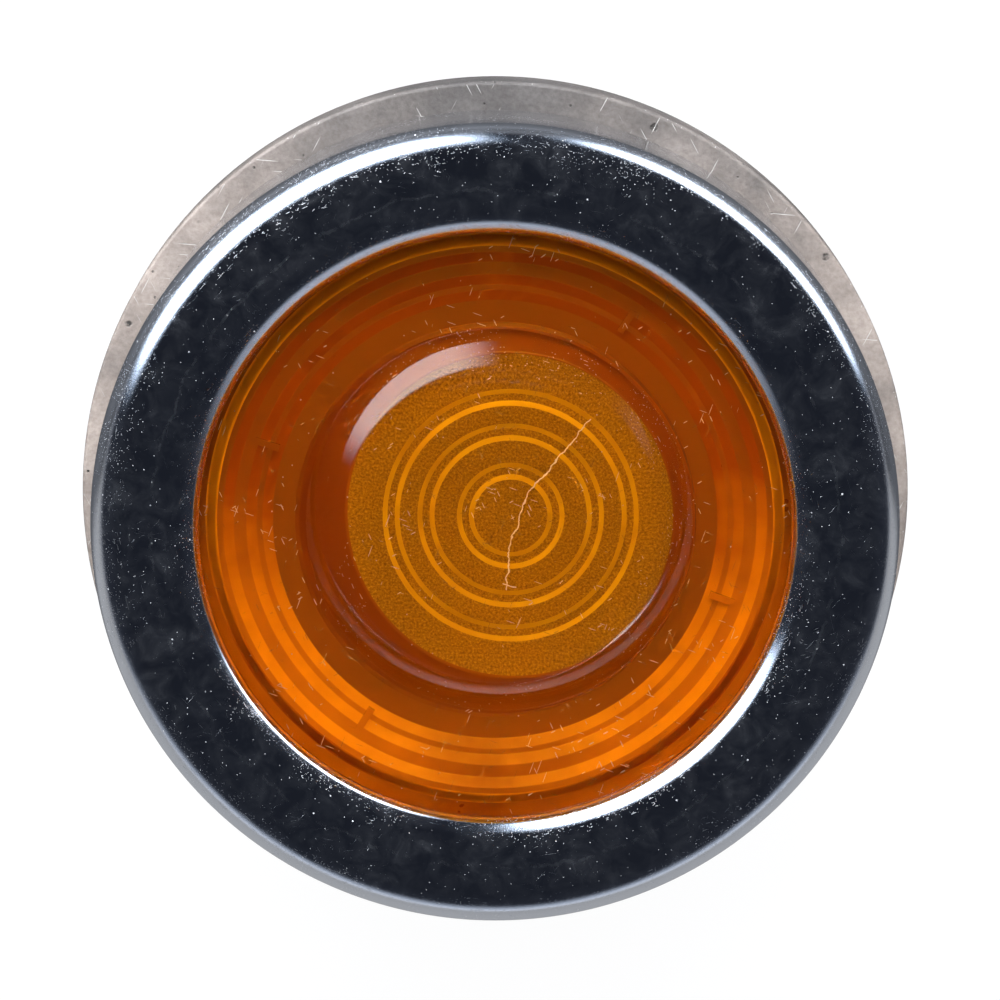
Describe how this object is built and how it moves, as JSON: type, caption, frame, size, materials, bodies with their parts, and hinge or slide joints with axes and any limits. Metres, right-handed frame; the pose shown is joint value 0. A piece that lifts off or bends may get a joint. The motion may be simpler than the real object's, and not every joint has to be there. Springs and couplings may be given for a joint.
{
  "type": "raised marker lamp",
  "caption": "Round amber marker lamp: cast flanged body with screwed chrome bezel, moulded lens, bayonet bulb in a sprung holder, cable gland and ring nut for a plate.",
  "frame": {"origin": "centre of the flat rim of the can, on the surface the lamp stands on", "axes": "+Z along the lamp's axis from the can to the lens; +X through the bulb's two pins"},
  "size_m": [0.0742, 0.0742, 0.0721],
  "materials": {
    "cast": "weathered casting, pitted",
    "chrome": "bright plating, fine scratches",
    "amber": "clear amber moulding",
    "rubber": "matt",
    "nylon": "natural nylon",
    "reflector": "satin pressing",
    "steel": "zinc plated",
    "brass": "satin",
    "phenolic": "moulded",
    "glass": "clear",
    "tungsten": "drawn wire",
    "solder": "soft solder",
    "plastic": "moulded",
    "red_wire": "sleeve",
    "black_wire": "sleeve"
  },
  "bodies": {
    "housing": {"housing": "cast", "flange_gasket": "rubber", "lens_gasket": "rubber", "reflector": "reflector", "lampholder_plate": "steel", "plate_screw_1": "steel", "plate_screw_2": "steel", "plate_screw_3": "steel", "socket_shell": "brass", "socket_rivet_1": "brass", "socket_rivet_2": "brass", "socket_rivet_3": "brass", "socket_bottom": "phenolic", "live_tag": "brass", "return_tag": "brass", "contact_spring": "steel", "terminal_block": "plastic", "terminal_clamp_1": "brass", "terminal_clamp_2": "brass", "terminal_screw_1": "brass", "terminal_screw_2": "brass", "block_screw": "steel", "live_lead": "red_wire", "return_lead": "black_wire", "gland_body": "brass", "gland_washer": "rubber", "gland_locknut": "brass", "gland_seal": "rubber", "gland_nut": "brass"},
    "lens": {"lens": "amber"},
    "slip_ring": {"slip_ring": "nylon"},
    "bezel": {"bezel_ring": "chrome"},
    "plunger": {"contact_carrier": "phenolic", "contact_button": "brass"},
    "bulb": {"bulb_cap": "brass", "bulb_insulator": "phenolic", "bulb_contact": "solder", "bulb_glass": "glass", "bulb_stem": "glass", "filament_support_1": "steel", "filament_support_2": "steel", "filament": "tungsten"},
    "nut_washer": {"nut_washer": "steel"},
    "ring_nut": {"ring_nut": "cast"}
  },
  "joints": [
    {"name": "cover_lift", "type": "slide", "parent": "housing", "child": "lens", "axis": [0, 0, 1], "range_m": [0, 0.04]},
    {"name": "bezel_rise", "type": "slide", "parent": "lens", "child": "slip_ring", "axis": [0, 0, 1], "range_m": [0, 0.0061]},
    {"name": "bezel_turn", "type": "hinge", "parent": "slip_ring", "child": "bezel", "pos_m": [0, 0, 0.066], "axis": [0, 0, 1], "range_deg": [0, 1440]},
    {"name": "nut_travel", "type": "slide", "parent": "housing", "child": "nut_washer", "axis": [0, 0, 1], "range_m": [-0.0181, 0.0051]},
    {"name": "nut_turn", "type": "hinge", "parent": "nut_washer", "child": "ring_nut", "pos_m": [0, 0, 0.0324], "axis": [0, 0, 1], "range_deg": [-3240, 900]},
    {"name": "bulb_push", "type": "slide", "parent": "housing", "child": "plunger", "axis": [0, 0, 1], "range_m": [-0.0015, 0], "stiffness_N_per_m": 1500, "springref_m": 0.002, "deforming": ["contact_spring"]},
    {"name": "bulb_turn", "type": "hinge", "parent": "plunger", "child": "bulb", "pos_m": [0, 0, 0.04], "axis": [0, 0, 1], "range_deg": [0, 25]}
  ],
  "couplings": [
    {"joint": "bezel_rise", "follows": "bezel_turn", "m_per_rad": 0.00023873},
    {"joint": "nut_travel", "follows": "nut_turn", "m_per_rad": 0.00031831}
  ]
}
